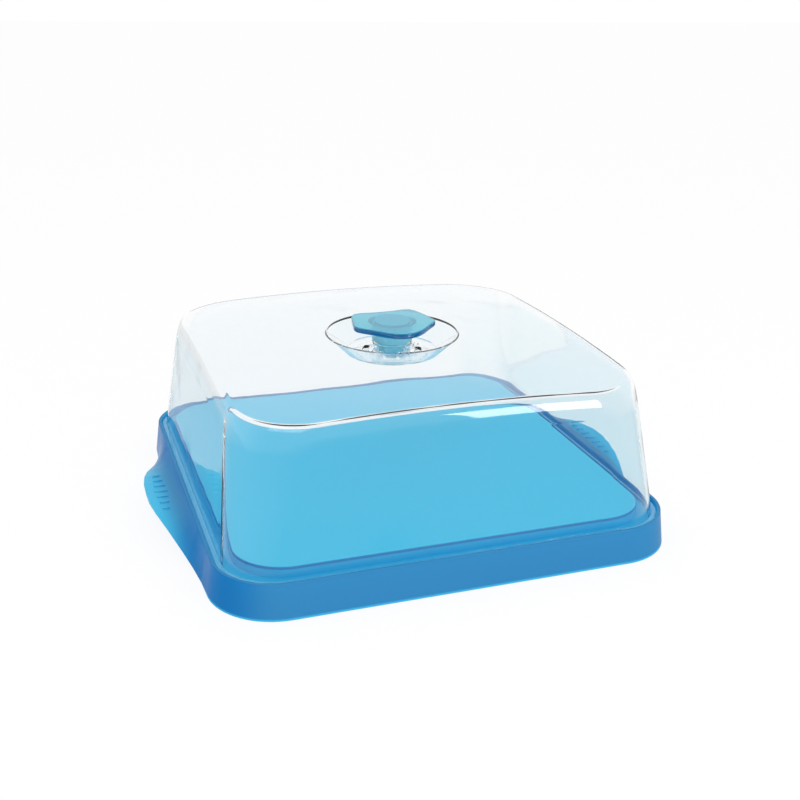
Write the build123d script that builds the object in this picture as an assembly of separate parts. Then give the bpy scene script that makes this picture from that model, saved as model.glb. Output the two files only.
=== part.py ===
from build123d import *
import math
import os

# A square cheese keeper: a tinted tray with two grip wings, a clear dome lid with a round recess in its top,
# and a turn knob in the recess that works a vent shutter under the lid.
# All sizes are in millimetres. X runs from wing to wing, Y from front to back, Z up from the table.
# The origin is on the table, under the middle of the tray.

# Tray
TRAY_WIDTH = 260.0
TRAY_HEIGHT = 19.9
TRAY_WALL = 2.0
TRAY_CORNER_RADIUS = 34.5
SKIRT_FLARE = 2.6
RIM_LAND = 1.9
RIM_EDGE_RADIUS = 0.6
CHANNEL_DEPTH = 3.5
CHANNEL_WIDTH = 9.8
PLATEAU_RISE = 2.8
PLATEAU_DRAFT = 0.55
PLATEAU_CORNER_RADIUS = 28.0
PLATEAU_EDGE_RADIUS = 1.2

# Grip wings, one on each side of the tray
WING_REACH = 18.1
WING_HEIGHT = 17.0
WING_EDGE_THICKNESS = 1.8
WING_ROOT_DROP = 0.6
WING_HOLLOW_OUT = 3.0
WING_HOLLOW_DROP = 5.1
WING_TIP_HALF_LENGTH = 5.4
WING_CREST_HALF_LENGTH = 11.3
WING_UNDER_IN = 0.3
WING_UNDER_DOWN = 0.7
WING_END_MARGIN = 1.2
WING_STATIONS = 17
RIB_COUNT = 7
RIB_PITCH = 7.4
RIB_WIDTH = 1.5
RIB_RISE = 0.7
RIB_LONGEST = 6.0
RIB_SHORTEST = 2.5
RIB_FROM_TIP = 8.7

# Dome lid
LID_WALL = 2.0
LID_CLEARANCE = 0.7
FOOT_FLANGE_WIDTH = 2.4
FOOT_FLANGE_THICKNESS = 1.8
LID_FOOT_RADIUS = 28.5
LID_APEX_HEIGHT = 103.0
LID_TAPER_PER_SIDE = 9.6
LID_CORNER_GROWTH = 14.5
CROWN_RADIUS = 1150.0
SHOULDER_RADIUS = 7.0

# Round recess in the lid top, with the vent collar on its floor
RECESS_MOUTH_RADIUS = 39.3
RECESS_FLOOR_RADIUS = 27.5
RECESS_DEPTH = 11.5
RECESS_MOUTH_ROUND = 1.2
COLLAR_HEIGHT = 5.3
COLLAR_RADIUS = 12.1
COLLAR_WALL = 1.3
COLLAR_LEAN = 1.5
GUSSET_COUNT = 4
GUSSET_ANGLE = 23.5
GUSSET_REACH = 6.0
GUSSET_HEIGHT = 4.6
GUSSET_THICKNESS = 1.2
GUSSET_TOE = 1.0

# Vent ports, cut alike through the recess floor and the shutter
PORT_COUNT = 4
PORT_PATH_RADIUS = 15.9
PORT_WIDTH = 4.0
PORT_SPAN = 26.0
VENT_TURN = 45.0
STOP_PATH_RADIUS = 20.6
STOP_PEG_RADIUS = 1.2
STOP_PEG_HEIGHT = 2.4
STOP_CLEARANCE = 0.3

# Vent knob
KNOB_RISE = 7.0
KNOB_PLATE_THICKNESS = 3.3
KNOB_PLATE_DROOP = 0.7
KNOB_DISC_THICKNESS = 1.9
KNOB_EDGE_RADIUS = 0.9
KNOB_FRONT_ANGLE = -89.0
# The plate's reach from the axis, by angle from its front lobe; both sides are alike
KNOB_OUTLINE = ((0, 27.4), (16, 26.4), (32, 24.6), (48, 23.7), (62, 24.6), (76, 25.9), (90, 24.6), (104, 24.0),
                (120, 24.9), (136, 26.3), (147, 23.6), (157, 20.2), (168, 18.6), (180, 18.0))
CUP_RADIUS = 12.2
CUP_BLEND = 2.4
CUP_WALL = 1.6
CUP_STEP = 1.6
CUP_FLOOR_RADIUS = 9.0
CUP_SHOULDER = 2.0
KNOB_OVER_COLLAR = 1.2
KNOB_OVER_FLOOR = 0.7
STEM_RADIUS = 4.5
STEM_RUNNING_CLEARANCE = 0.08
STEM_FLAT = 3.6
SNAP_LIP = 0.8
SNAP_LIP_HEIGHT = 1.4
SNAP_LIP_EDGE = 0.3
SNAP_LEAD_IN = 0.4
SNAP_SLOT = 1.6

# Vent shutter under the recess floor
SHUTTER_RADIUS = 22.0
SHUTTER_THICKNESS = 1.6
SHUTTER_CLEARANCE = 0.25
SHUTTER_HUB_RADIUS = 7.5
SHUTTER_HUB_HEIGHT = 3.0

# How far joined forms run into each other, and how far a cutting form runs past what it cuts
OVERLAP = 0.5
CUT_MARGIN = 1.0
EDGE_TOLERANCE = 0.01

# Heights and half widths that follow from the sizes above
rim_half = TRAY_WIDTH / 2
foot_half = rim_half + SKIRT_FLARE
rim_inner_half = rim_half - RIM_LAND
rim_inner_radius = TRAY_CORNER_RADIUS - RIM_LAND
channel_floor = TRAY_HEIGHT - CHANNEL_DEPTH
plateau_foot_half = rim_inner_half - CHANNEL_WIDTH
plateau_top = TRAY_HEIGHT + PLATEAU_RISE
under_channel = channel_floor - TRAY_WALL
wing_end = rim_half - TRAY_CORNER_RADIUS
flange_half = rim_inner_half - LID_CLEARANCE
lid_foot_half = flange_half - FOOT_FLANGE_WIDTH
crown_centre = LID_APEX_HEIGHT - CROWN_RADIUS
mouth_height = crown_centre + math.sqrt(CROWN_RADIUS**2 - RECESS_MOUTH_RADIUS**2)
recess_floor = LID_APEX_HEIGHT - RECESS_DEPTH
recess_underside = recess_floor - LID_WALL
collar_top = recess_floor + COLLAR_HEIGHT
knob_top = LID_APEX_HEIGHT + KNOB_RISE
cup_step_height = collar_top + KNOB_OVER_COLLAR
cup_bottom = recess_floor + KNOB_OVER_FLOOR
shutter_top = recess_underside - SHUTTER_CLEARANCE
shutter_bottom = shutter_top - SHUTTER_THICKNESS
hub_bottom = shutter_bottom - SHUTTER_HUB_HEIGHT
port_angle = GUSSET_ANGLE + 180 / PORT_COUNT


def rounded_square(half, radius, height):
    """A level face with round corners, centred over the origin."""
    return Pos(0, 0, height) * RectangleRounded(2 * half, 2 * half, radius)


def tapered_block(low, high):
    """A straight-sided block between two rounded squares, each given as half width, radius and height."""
    return loft([rounded_square(*low), rounded_square(*high)], ruled=True)


def turned(points):
    """A solid of revolution about Z from points given as radius and height."""
    face = make_face(Plane.XZ * Polyline(*points, close=True))
    return revolve(face, Axis.Z)


def post(radius, low, high):
    """A round post about Z between two heights."""
    return Pos(0, 0, (low + high) / 2) * Cylinder(radius, high - low)


def polar(radius, angle, height=0.0):
    """A point at a radius and an angle in degrees about Z."""
    return (radius * math.cos(math.radians(angle)), radius * math.sin(math.radians(angle)), height)


def smooth_step(value):
    """A smooth rise from 0 to 1."""
    value = min(max(value, 0.0), 1.0)
    return value * value * (3 - 2 * value)


def skirt_half(height):
    """Half width of the tray's outer skirt at a height."""
    return foot_half - SKIRT_FLARE * height / TRAY_HEIGHT


def skirt_radius(height):
    """Corner radius of the tray's outer skirt at a height."""
    return TRAY_CORNER_RADIUS + skirt_half(height) - rim_half


def edges_at(solid, height, half):
    """The rounded-square edge loop at a height that reaches to a half width."""
    loop = ShapeList()
    for edge in solid.edges():
        box = edge.bounding_box()
        reach = max(abs(box.min.X), abs(box.max.X), abs(box.min.Y), abs(box.max.Y))
        misses = (box.min.Z - height, box.max.Z - height, reach - half)
        if max(abs(miss) for miss in misses) < EDGE_TOLERANCE:
            loop.append(edge)
    return loop


def tray_shell():
    """The tray moulding without its wings: skirt, rim, channel for the lid, and raised floor."""
    body = tapered_block((foot_half, skirt_radius(0), 0), (rim_half, TRAY_CORNER_RADIUS, TRAY_HEIGHT))
    body -= tapered_block((rim_inner_half, rim_inner_radius, channel_floor),
                          (rim_inner_half, rim_inner_radius, TRAY_HEIGHT + CUT_MARGIN))
    plateau_half = plateau_foot_half - PLATEAU_DRAFT
    plateau_radius = PLATEAU_CORNER_RADIUS - PLATEAU_DRAFT
    body += tapered_block((plateau_foot_half, PLATEAU_CORNER_RADIUS, channel_floor),
                          (plateau_half, plateau_radius, plateau_top))
    body -= tapered_block((foot_half - TRAY_WALL, skirt_radius(0) - TRAY_WALL, 0),
                          (skirt_half(under_channel) - TRAY_WALL, skirt_radius(under_channel) - TRAY_WALL,
                           under_channel))
    body -= tapered_block((plateau_foot_half - TRAY_WALL, PLATEAU_CORNER_RADIUS - TRAY_WALL,
                           under_channel - CUT_MARGIN),
                          (plateau_half - TRAY_WALL, plateau_radius - TRAY_WALL, plateau_top - TRAY_WALL))
    body = fillet(edges_at(body, plateau_top, plateau_half), PLATEAU_EDGE_RADIUS)
    for half in (rim_half, rim_inner_half):
        body = fillet(edges_at(body, TRAY_HEIGHT, half), RIM_EDGE_RADIUS)
    return body


def wing_section(y):
    """Root, hollow and edge of the wing's top face at a place along Y, and how far the wing stands out there."""
    end = wing_end - WING_END_MARGIN
    out = 1 - smooth_step((abs(y) - WING_TIP_HALF_LENGTH) / (end - WING_TIP_HALF_LENGTH))
    lift = 1 - smooth_step((abs(y) - WING_CREST_HALF_LENGTH) / (end - WING_CREST_HALF_LENGTH))
    root_height = TRAY_HEIGHT - WING_ROOT_DROP
    root = (skirt_half(root_height), root_height)
    edge = (foot_half + WING_REACH * out, WING_HEIGHT * lift)
    hollow = (rim_half + WING_HOLLOW_OUT, TRAY_HEIGHT - WING_HOLLOW_DROP)
    middle = ((root[0] + edge[0]) / 2, (root[1] + edge[1]) / 2)
    control = tuple(m + (h - m) * out for m, h in zip(middle, hollow))
    return root, control, edge, out


def wing_face(y):
    """The wing's cross-section as a thin curved strip across X and Z."""
    root, control, edge, out = wing_section(y)
    under_root = (root[0] - TRAY_WALL, root[1])
    under_control = (control[0] - TRAY_WALL * (1 - WING_UNDER_IN * out),
                     control[1] - TRAY_WALL * WING_UNDER_DOWN * out)
    under_edge = (edge[0] - TRAY_WALL * (1 - out), edge[1] - WING_EDGE_THICKNESS * out)
    top = Bezier(*[(x, y, z) for x, z in (root, control, edge)])
    tip = Line((edge[0], y, edge[1]), (under_edge[0], y, under_edge[1]))
    under = Bezier(*[(x, y, z) for x, z in (under_edge, under_control, under_root)])
    close = Line((under_root[0], y, under_root[1]), (root[0], y, root[1]))
    return make_face(Wire([top, tip, under, close]))


def wing_top_at(x, y):
    """Height of the wing's top face at a point."""
    root, control, edge, _ = wing_section(y)
    low, high = 0.0, 1.0
    for _ in range(40):
        t = (low + high) / 2
        reach = (1 - t)**2 * root[0] + 2 * t * (1 - t) * control[0] + t * t * edge[0]
        low, high = (t, high) if reach < x else (low, t)
    return (1 - t)**2 * root[1] + 2 * t * (1 - t) * control[1] + t * t * edge[1]


def grip_ribs():
    """Short raised ribs across the wing's tip, longest in the middle."""
    ribs = []
    middle = (RIB_COUNT - 1) / 2
    for index in range(RIB_COUNT):
        away = abs(index - middle) / middle
        length = RIB_LONGEST + (RIB_SHORTEST - RIB_LONGEST) * away
        y = (index - middle) * RIB_PITCH
        x = foot_half + WING_REACH - RIB_FROM_TIP
        top = wing_top_at(x, y) + RIB_RISE
        bar = extrude(Pos(x, y, top - 2 * RIB_RISE) * SlotOverall(length + RIB_WIDTH, RIB_WIDTH), 2 * RIB_RISE)
        ribs.append(bar)
    return ribs


def wing():
    """The wing on the +X side, which takes the place of the skirt along the straight side."""
    stations = [-wing_end + 2 * wing_end * i / (WING_STATIONS - 1) for i in range(WING_STATIONS)]
    body = loft([wing_face(y) for y in stations], ruled=True)
    for rib in grip_ribs():
        body += rib
    return body


def tray():
    """The whole tray: the shell, with its side skirts swept out into the two wings."""
    body = tray_shell()
    gap_height = (under_channel - CUT_MARGIN) / 2
    for side in (1, -1):
        gap = Box(4 * TRAY_WALL, 2 * wing_end, under_channel + CUT_MARGIN)
        body -= Pos(side * foot_half, 0, gap_height) * gap
    right = wing()
    body += right
    body += mirror(right, about=Plane.YZ)
    return body


def dome_block(inset):
    """The dome's solid form, drawn in by an inset from its outer face."""
    low_half = lid_foot_half - inset
    low_radius = LID_FOOT_RADIUS - inset
    block = tapered_block((low_half, low_radius, channel_floor),
                          (low_half - LID_TAPER_PER_SIDE, low_radius + LID_CORNER_GROWTH, LID_APEX_HEIGHT))
    crown = Pos(0, 0, crown_centre) * Sphere(CROWN_RADIUS - inset)
    block = block & crown
    top_loop = block.faces().filter_by(GeomType.SPHERE)[0].outer_wire().edges()
    return fillet(top_loop, SHOULDER_RADIUS - inset)


def recess_cup():
    """The clear dish that hangs from the lid's crown, before it is hollowed."""
    slope = (RECESS_MOUTH_RADIUS - RECESS_FLOOR_RADIUS) / (mouth_height - recess_floor)
    side = LID_WALL * math.sqrt(1 + slope**2)
    under_radius = RECESS_FLOOR_RADIUS + side - LID_WALL * slope
    top = mouth_height - LID_WALL / 2
    top_radius = under_radius + (top - recess_underside) * slope
    return turned([(0, recess_underside), (under_radius, recess_underside), (top_radius, top), (0, top)])


def recess_space():
    """The air in the recess, up through the lid's crown."""
    above = LID_APEX_HEIGHT + KNOB_RISE
    return turned([(0, recess_floor), (RECESS_FLOOR_RADIUS, recess_floor), (RECESS_MOUTH_RADIUS, mouth_height),
                   (RECESS_MOUTH_RADIUS + RECESS_MOUTH_ROUND, above), (0, above)])


def vent_ports(offset, bottom, thickness):
    """The ring of curved slots that lets air through a wall of a thickness."""
    ports = []
    for index in range(PORT_COUNT):
        start = offset + index * 360 / PORT_COUNT - PORT_SPAN / 2
        slot = SlotArc(CenterArc((0, 0), PORT_PATH_RADIUS, start, PORT_SPAN), PORT_WIDTH)
        ports.append(extrude(Pos(0, 0, bottom - CUT_MARGIN) * slot, thickness + 2 * CUT_MARGIN))
    return ports


def vent_collar():
    """The clear collar round the knob's cup, with its gussets on the recess floor."""
    outer_low = COLLAR_RADIUS - COLLAR_LEAN
    body = turned([(outer_low - COLLAR_WALL, recess_floor), (outer_low, recess_floor),
                   (COLLAR_RADIUS, collar_top), (COLLAR_RADIUS - COLLAR_WALL, collar_top)])
    reach = outer_low + GUSSET_REACH
    sunk = COLLAR_WALL / 2
    root = outer_low - sunk
    lean = COLLAR_LEAN * GUSSET_HEIGHT / COLLAR_HEIGHT
    gusset_top = recess_floor + GUSSET_HEIGHT
    profile = Polyline((root, 0, recess_floor - sunk), (reach, 0, recess_floor - sunk),
                       (reach, 0, recess_floor + GUSSET_TOE), (root + lean + COLLAR_WALL, 0, gusset_top),
                       (root + lean, 0, gusset_top), (root, 0, recess_floor), close=True)
    plate = extrude(make_face(profile), GUSSET_THICKNESS / 2, both=True)
    for index in range(GUSSET_COUNT):
        body += Rot(0, 0, GUSSET_ANGLE + index * 360 / GUSSET_COUNT) * plate
    return body


def dome_lid():
    """The clear lid: dome shell with foot flange, recess, collar, vent ports, stem hole and stop peg."""
    body = dome_block(0)
    body += extrude(rounded_square(flange_half, LID_FOOT_RADIUS + FOOT_FLANGE_WIDTH, channel_floor),
                    FOOT_FLANGE_THICKNESS)
    body -= dome_block(LID_WALL)
    body += recess_cup()
    body -= recess_space()
    body += vent_collar()
    body -= post(STEM_RADIUS + STEM_RUNNING_CLEARANCE, recess_underside - CUT_MARGIN, recess_floor + CUT_MARGIN)
    for port in vent_ports(port_angle, recess_underside, LID_WALL):
        body -= port
    peg = post(STOP_PEG_RADIUS, recess_underside - STOP_PEG_HEIGHT, recess_underside + OVERLAP)
    body += Pos(polar(STOP_PATH_RADIUS, GUSSET_ANGLE)) * peg
    return body


def knob_outline():
    """The knob's wavy plan: a front lobe, a side lobe and a back lobe on each side, and a dip at the back."""
    other_side = [(-angle, reach) for angle, reach in reversed(KNOB_OUTLINE[1:-1])]
    points = [polar(reach, KNOB_FRONT_ANGLE + angle) for angle, reach in [*KNOB_OUTLINE, *other_side]]
    return make_face(Spline(*points, periodic=True))


def knob_plate():
    """The knob's gently domed plate, with rounded edges."""
    reach = max(radius for _, radius in KNOB_OUTLINE)
    cap_radius = (reach**2 + KNOB_PLATE_DROOP**2) / (2 * KNOB_PLATE_DROOP)
    cap_centre = Pos(0, 0, knob_top - cap_radius)
    low = knob_top - KNOB_PLATE_DROOP - KNOB_PLATE_THICKNESS - CUT_MARGIN
    plate = extrude(Pos(0, 0, low) * knob_outline(), knob_top + CUT_MARGIN - low)
    plate = plate & (cap_centre * Sphere(cap_radius))
    plate -= cap_centre * Sphere(cap_radius - KNOB_PLATE_THICKNESS)
    rims = [face.outer_wire().edges() for face in plate.faces().filter_by(GeomType.SPHERE)]
    return fillet(ShapeList(edge for rim in rims for edge in rim), KNOB_EDGE_RADIUS)


def knob_cup():
    """The knob's cup with its air space: flared into the plate, stepped in over the collar, closed below."""
    under_plate = knob_top - KNOB_PLATE_THICKNESS
    inner = CUP_RADIUS - CUP_WALL
    floor_inner = CUP_FLOOR_RADIUS - CUP_WALL
    cup = turned([(0, cup_bottom), (CUP_FLOOR_RADIUS, cup_bottom), (CUP_RADIUS - CUP_STEP, cup_step_height),
                  (CUP_RADIUS, cup_step_height), (CUP_RADIUS, under_plate - CUP_BLEND),
                  (CUP_RADIUS + CUP_BLEND, under_plate), (CUP_RADIUS + CUP_BLEND, under_plate + OVERLAP),
                  (0, under_plate + OVERLAP)])
    air = turned([(0, cup_bottom + CUP_WALL), (floor_inner, cup_bottom + CUP_WALL),
                  (inner, cup_step_height + CUP_SHOULDER), (inner, knob_top - KNOB_DISC_THICKNESS),
                  (0, knob_top - KNOB_DISC_THICKNESS)])
    return cup, air


def knob_stem():
    """The split stem with two flats, whose lip snaps under the shutter's hub."""
    lip_bottom = hub_bottom - SNAP_LIP_HEIGHT
    root = cup_bottom + OVERLAP
    stem = turned([(0, lip_bottom), (STEM_RADIUS - SNAP_LEAD_IN, lip_bottom),
                   (STEM_RADIUS + SNAP_LIP, hub_bottom - SNAP_LIP_EDGE), (STEM_RADIUS + SNAP_LIP, hub_bottom),
                   (STEM_RADIUS, hub_bottom), (STEM_RADIUS, root), (0, root)])
    beside = Box(4 * STEM_RADIUS, 2 * STEM_RADIUS, shutter_top - hub_bottom)
    for side in (1, -1):
        stem -= Pos(0, side * (STEM_FLAT + STEM_RADIUS), (shutter_top + hub_bottom) / 2) * beside
    slot_top = cup_bottom - CUT_MARGIN
    slot_bottom = lip_bottom - CUT_MARGIN
    slot = Box(SNAP_SLOT, 4 * STEM_RADIUS, slot_top - slot_bottom)
    return stem - Pos(0, 0, (slot_top + slot_bottom) / 2) * slot


def vent_knob():
    """The knob: plate, hollow cup that turns in the collar, and stem."""
    cup, air = knob_cup()
    body = knob_plate() + cup
    return body - air + knob_stem()


def vent_shutter():
    """The clear disc under the recess floor, keyed to the knob's stem and stopped by the lid's peg."""
    body = post(SHUTTER_RADIUS, shutter_bottom, shutter_top)
    body += post(SHUTTER_HUB_RADIUS, hub_bottom, shutter_bottom + OVERLAP)
    key = Box(4 * STEM_RADIUS, 2 * STEM_FLAT, shutter_top - hub_bottom)
    body -= post(STEM_RADIUS, hub_bottom, shutter_top) & (Pos(0, 0, (shutter_top + hub_bottom) / 2) * key)
    for port in vent_ports(port_angle - VENT_TURN, shutter_bottom, SHUTTER_THICKNESS):
        body -= port
    return body - stop_notch()


def stop_notch():
    """The notch in the shutter's rim that the lid's stop peg runs in, as long as the vent's turn."""
    inner = STOP_PATH_RADIUS - STOP_PEG_RADIUS - STOP_CLEARANCE
    spare = math.degrees((STOP_PEG_RADIUS + STOP_CLEARANCE) / STOP_PATH_RADIUS)
    first = GUSSET_ANGLE - VENT_TURN - spare
    last = GUSSET_ANGLE + spare
    outer = SHUTTER_RADIUS + CUT_MARGIN
    reach = outer / math.cos(math.radians((last - first) / 4))
    corners = [polar(reach, first + (last - first) * share) for share in (0, 0.5, 1)]
    notch = make_face(Polyline((0, 0, 0), *corners, close=True)) & (Circle(2 * outer) - Circle(inner))
    return extrude(Pos(0, 0, shutter_bottom - CUT_MARGIN) * notch, SHUTTER_THICKNESS + 2 * CUT_MARGIN)


os.makedirs("parts", exist_ok=True)
for name, build in (("tray", tray), ("dome_lid", dome_lid), ("vent_knob", vent_knob),
                    ("vent_shutter", vent_shutter)):
    shape = build()
    shape.label = name
    export_step(shape, f"parts/{name}.step")
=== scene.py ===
import math

import bmesh
import bpy
from bpy.props import FloatProperty, PointerProperty, StringProperty
from mathutils import Matrix, Vector


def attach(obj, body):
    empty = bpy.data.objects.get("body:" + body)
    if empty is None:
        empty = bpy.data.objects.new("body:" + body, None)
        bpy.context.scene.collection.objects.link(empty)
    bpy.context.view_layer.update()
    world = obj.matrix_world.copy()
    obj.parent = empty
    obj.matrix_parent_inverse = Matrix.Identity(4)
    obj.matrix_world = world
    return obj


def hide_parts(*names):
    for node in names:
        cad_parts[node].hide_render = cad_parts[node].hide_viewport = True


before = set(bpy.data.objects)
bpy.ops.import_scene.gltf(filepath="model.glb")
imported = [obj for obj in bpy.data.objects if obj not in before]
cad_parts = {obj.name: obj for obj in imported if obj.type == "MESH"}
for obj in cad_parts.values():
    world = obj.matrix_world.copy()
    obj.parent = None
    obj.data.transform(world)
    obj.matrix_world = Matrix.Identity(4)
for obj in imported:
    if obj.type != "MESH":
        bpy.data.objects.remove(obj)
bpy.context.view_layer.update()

bl_info = {
    "name": "Cheese keeper",
    "version": (1, 0, 0),
    "blender": (4, 5, 0),
    "location": "3D View > Sidebar > Keeper",
    "description": "Dresses a square cheese keeper with a tinted tray, a clear dome lid and a vent knob",
    "category": "Object",
}

MM = 0.001

# The refractive index of styrene-acrylonitrile, the plastic of all four mouldings
SAN_IOR = 1.57

# Settings of a node that goes smoothly from one value to another
SMOOTH = {"interpolation_type": "SMOOTHSTEP"}

# Size of the patches of handling haze, in millimetres, and the share by which they change the roughness
HAZE_LENGTH = 25.0
HAZE_SPREAD = 0.4

# The slopes, as the upright share of a side's direction, between which a lid wall stops being dimmed
UPRIGHT, SLOPING = 0.15, 0.3
# Where the right-hand wall's finish starts and is full, in millimetres right of the middle
RIGHT_START, RIGHT_FULL = 90.0, 115.0
# Share of the light, of any colour, that the clear plastic lets straight through
STRAIGHT_SHARE = 0.97
# How far from head-on, as a share, the light inside the plastic starts to be mirrored whole, and surely is
MIRROR_START, MIRROR_FULL = 0.228, 0.24

# Where the tray's tint changes, in millimetres: from where to where, and the share of the light tint there.
# The light tint is painted light, on the tray's floor, the skirt's foot, the wing tips and in part in the
# channel.
FLOOR_START, FLOOR_FULL = 22.1, 22.5
FOOT_FULL, FOOT_END, FOOT_PAINTED_LIGHT = 0.4, 1.6, 0.7
TIP_START, TIP_FULL, TIP_PAINTED_LIGHT = 133.0, 149.0, 0.8
RIM_CORNER_CENTRE = 96.5
CHANNEL_INSIDE, CHANNEL_OUTSIDE, CHANNEL_PAINTED_LIGHT = 31.1, 31.9, 0.6
CHANNEL_TOP, CHANNEL_OVER = 20.4, 21.2
# How far a side faces left before the left tint, painted shade, starts and where it is full
LEFT_SHADE_START, LEFT_SHADE_FULL = -0.2, -0.9

# The knob's pale cup ends, and its plate starts, at these heights in millimetres
CUP_TOP, PLATE_FOOT = 101.0, 105.0
# The slopes between which the deep edge of the plate turns into its flat face
EDGE_SLOPE, FACE_SLOPE = 0.3, 0.9

# The lid's sizes in millimetres, as in the CAD part, but for a slower shoulder, a slightly flatter crown and a
# tighter recess mouth. Half widths are from the axis to the middle of a side.
FOOT_HEIGHT = 16.4
FLANGE_TOP = 18.2
FLANGE_HALF = 127.4
WALL_FOOT_HALF = 125.0
WALL_FOOT_RADIUS = 28.5
WALL_HALF_SLOPE = -9.6 / 86.6
WALL_RADIUS_SLOPE = 14.5 / 86.6
APEX_HEIGHT = 103.0
CROWN_RADIUS = 1400.0
FLANGE_ROUNDING = 0.4
RECESS_MOUTH_RADIUS = 39.3
RECESS_FLOOR_RADIUS = 27.5
RECESS_FLOOR = 91.5
RECESS_FLOOR_ROUNDING = 1.2
UNDER_MOUTH_RADIUS = 40.0
UNDER_MOUTH_ROUNDING = 0.7
UNDER_FLOOR_RADIUS = 28.28
UNDER_FLOOR_ROUNDING = 2.0
COLLAR_RADIUS = 12.1
COLLAR_TOP = 96.8
COLLAR_WALL = 1.3
COLLAR_LEAN = 1.5
COLLAR_FOOT_ROUNDING = 0.4
COLLAR_EDGE_ROUNDING = 0.35
STEM_HOLE_RADIUS = 4.58
STEM_HOLE_ROUNDING = 0.2
GUSSET_COUNT = 4
GUSSET_ANGLE = 23.5
GUSSET_THICKNESS = 1.2
# Reach and height; the foot and the inner side reach into the recess floor and the collar
GUSSET_OUTLINE = ((9.95, 90.85), (16.6, 90.85), (16.6, 92.5), (12.55, 96.1), (11.25, 96.1), (9.95, 91.5))
PEG_PATH_RADIUS = 20.6
PEG_RADIUS = 1.2
PEG_FOOT, PEG_TOP = 87.1, 90.0
PEG_STEPS = 24
PORT_PATH_RADIUS = 15.9
PORT_WIDTH = 4.0
PORT_SPAN = 26.0
PORT_CUT_FOOT, PORT_CUT_TOP = 88.5, 92.5
PORT_STEPS = 8
STRAIGHT_STEPS = 30
CORNER_STEPS = 24
SHOULDER_STEPS = 14
WALL_START = 22.0
OUTER_PATCH_RADIUS = 45.0
INNER_PATCH_RADIUS = 46.0
# Rows up the wall and in over the crown, as shares of the way. The close ones keep the faces beside the
# shoulder flat.
WALL_SHARES = (0, 0.3, 0.6, 0.9, 0.99)
CROWN_SHARES = (0.012, 0.1, 0.2, 0.3, 0.4, 0.5, 0.6, 0.7, 0.8, 0.9)
# Largest turn from point to point of a rounding, in degrees, and how far out the points beside it lie
ARC_STEP = 11
ARC_LEAD = 1.2
# Share of the wall by which the inner shoulder ends sooner
INNER_RUN_SHARE = 0.6
# Edges sharper than this stay sharp, in degrees
SHARP_EDGE = 32

# Half width of the table and how far it lies under the keeper, in metres
TABLE_REACH = 6.0
TABLE_DROP = 0.0002
# How far forward and back, and left and right, the mirrored table turns from dull to white, in metres
TABLE_DULL_FRONT, TABLE_WHITE_BACK = -0.3, 0.2
TABLE_DULL_LEFT, TABLE_WHITE_RIGHT = -0.25, -0.05
# The same for the mirrored room, as the forward share of a direction
ROOM_DULL_FRONT, ROOM_WHITE_BACK = -0.5, 0.3
# Size and place of the two softboxes, in metres
OVERHEAD_SIZE, OVERHEAD_PLACE = (0.9, 0.6), (-0.5, -0.5, 1.1)
STRIP_SIZE, STRIP_PLACE = (0.45, 0.5), (0.68, -1.24, 0.42)
# What the softboxes point at, in metres
LAMP_AIM = (0, 0, 0.05)


def linear(colour_hex):
    """An sRGB hex colour as linear red, green, blue and alpha."""
    channels = [int(colour_hex.lstrip("#")[i:i + 2], 16) / 255 for i in (0, 2, 4)]
    return [c / 12.92 if c <= 0.04045 else ((c + 0.055) / 1.055) ** 2.4 for c in channels] + [1.0]


WHITE = linear("#FFFFFF")


def add_node(tree, kind, settings=None, values=None, links=None):
    """Adds one node, sets its own settings and its sockets, and links other nodes' outputs into it."""
    made = tree.nodes.new(kind)
    for name, value in (settings or {}).items():
        setattr(made, name, value)
    for name, value in (values or {}).items():
        made.inputs[name].default_value = value
    for name, source in (links or {}).items():
        tree.links.new(source, made.inputs[name])
    return made


def moulded_surface(tree, roughness, ripple, ripple_length):
    """The polish and the faint ripple that the mould leaves: sockets for a shader's roughness and normal."""
    place = add_node(tree, "ShaderNodeTexCoord")
    waves = add_node(tree, "ShaderNodeTexNoise", values={"Scale": 1 / (ripple_length * MM), "Detail": 1.0},
                     links={"Vector": place.outputs["Object"]})
    ripples = add_node(tree, "ShaderNodeBump", values={"Strength": 1.0, "Distance": ripple * MM},
                       links={"Height": waves.outputs["Fac"]})
    haze = add_node(tree, "ShaderNodeTexNoise", values={"Scale": 1 / (HAZE_LENGTH * MM), "Detail": 4.0},
                    links={"Vector": place.outputs["Object"]})
    gloss = add_node(tree, "ShaderNodeMapRange",
                     values={"To Min": roughness * (1 - HAZE_SPREAD), "To Max": roughness * (1 + HAZE_SPREAD)},
                     links={"Value": haze.outputs["Fac"]})
    return gloss.outputs["Result"], ripples.outputs["Normal"]


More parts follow.
